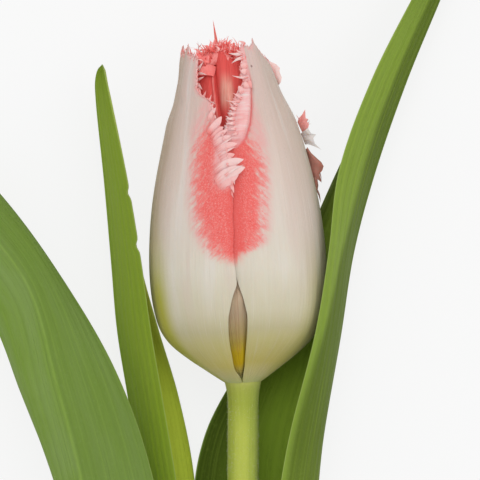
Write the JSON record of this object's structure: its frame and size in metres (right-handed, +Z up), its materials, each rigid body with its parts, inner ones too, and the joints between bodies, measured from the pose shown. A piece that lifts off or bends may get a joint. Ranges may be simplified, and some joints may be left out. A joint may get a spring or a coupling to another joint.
{
  "type": "cut tulip",
  "caption": "Cut tulip with a closed fringed bud, cream petals flamed coral, a bare green stem and clasping folded leaves, lying flat.",
  "frame": {"origin": "middle of the footprint on the table the flower lies on, at the lowest point of the flower", "axes": "+Y along the stem from its cut end to the petal tips, +Z up off the table, +X to the right seen from above with the flower away from the viewer"},
  "size_m": [0.1396, 0.398, 0.038],
  "materials": {
    "petal_cream": "matte",
    "petal_coral": "matte",
    "stem_green": "satin",
    "leaf_green": "satin",
    "pistil_green": "satin",
    "filament_yellow": "satin",
    "anther_dark": "matte"
  },
  "bodies": {
    "root": {"stem": "stem_green", "outer_petal_left": "petal_cream", "outer_petal_right": "petal_cream", "outer_petal_back": "petal_cream", "inner_petal_front": "petal_coral", "inner_petal_left": "petal_coral", "inner_petal_right": "petal_coral", "pistil": "pistil_green", "filament_1": "filament_yellow", "anther_1": "anther_dark", "filament_2": "filament_yellow", "anther_2": "anther_dark", "filament_3": "filament_yellow", "anther_3": "anther_dark", "filament_4": "filament_yellow", "anther_4": "anther_dark", "filament_5": "filament_yellow", "anther_5": "anther_dark", "filament_6": "filament_yellow", "anther_6": "anther_dark", "leaf_right": "leaf_green", "leaf_left_narrow": "leaf_green", "leaf_left_broad": "leaf_green"}
  },
  "joints": []
}
